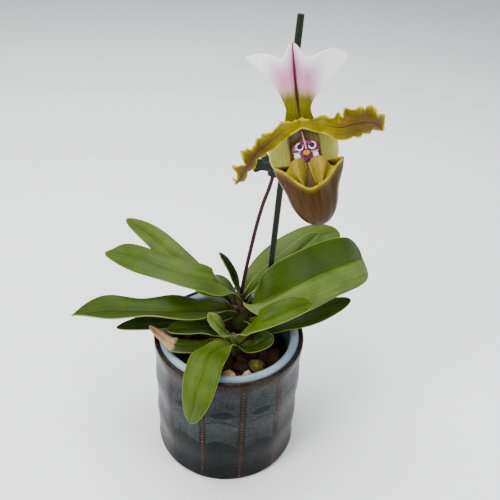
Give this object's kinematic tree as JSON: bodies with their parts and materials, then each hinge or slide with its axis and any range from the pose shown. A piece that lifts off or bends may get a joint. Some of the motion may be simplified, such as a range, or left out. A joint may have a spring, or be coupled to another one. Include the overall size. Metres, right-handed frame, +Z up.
{
  "type": "potted slipper orchid",
  "caption": "Slipper orchid in flower, with a fan of strap leaves, a staked and clipped stem, and a glazed pot with an inner nursery pot.",
  "frame": {"origin": "centre of the pot's foot, on the surface that it stands on", "axes": "+Z up along the pot's axis, -Y towards the side that the bloom faces, +X to the right in that view"},
  "size_m": [0.1913, 0.1409, 0.2774],
  "materials": {
    "cover_pot": "dark charcoal and teal glaze over stoneware, speckled brown where it runs thin",
    "nursery_pot": "satin grey-blue plastic",
    "bark": "rough dark bark chips",
    "stone": "matt pale tan stone",
    "moss": "dull yellow-green moss on a lump of stone",
    "leaf": "smooth leathery leaf with a soft sheen and a pale margin",
    "dry_tip_leaf": "leaf with a dried tan tip",
    "young_leaf": "pale young leaf",
    "crown": "green leaf bases spotted dark maroon",
    "stem": "dark maroon with a fine down",
    "bract": "yellow-green with maroon dots",
    "stake": "dark green coated stake",
    "clip": "satin black-green plastic",
    "sepal": "white wings flushed pink over an olive-yellow base, with a maroon midvein",
    "petal": "yellow-green with a brown-purple flush and crisped yellow edge",
    "lower_sepal": "pale yellow-green, faintly veined",
    "pouch": "glossy brown-olive with a yellow rim",
    "column": "purple and white with a yellow boss"
  },
  "bodies": {
    "root": {"cover_pot": "cover_pot", "nursery_pot": "nursery_pot", "bark_mix": "bark", "pale_stone_left": "stone", "pale_stone_right": "stone", "mossy_stone": "moss", "crown_main": "crown", "crown_front": "crown", "leaf_left_back": "leaf", "leaf_left_upper": "leaf", "leaf_left_lower": "leaf", "leaf_left_shaded": "leaf", "leaf_left_short": "leaf", "leaf_dry_tip": "dry_tip_leaf", "leaf_front_hanging": "leaf", "leaf_young": "young_leaf", "leaf_right_small": "leaf", "leaf_right_large": "leaf", "leaf_right_back": "leaf", "leaf_right_inner": "leaf", "leaf_right_low": "leaf", "leaf_right_tiny": "leaf", "leaf_back_small": "leaf", "flower_stem": "stem", "ovary": "stem", "bract": "bract", "stake": "stake", "stem_clip": "clip", "dorsal_sepal": "sepal", "petal_left": "petal", "petal_right": "petal", "lower_sepal": "lower_sepal", "pouch": "pouch", "column": "column"}
  },
  "joints": []
}
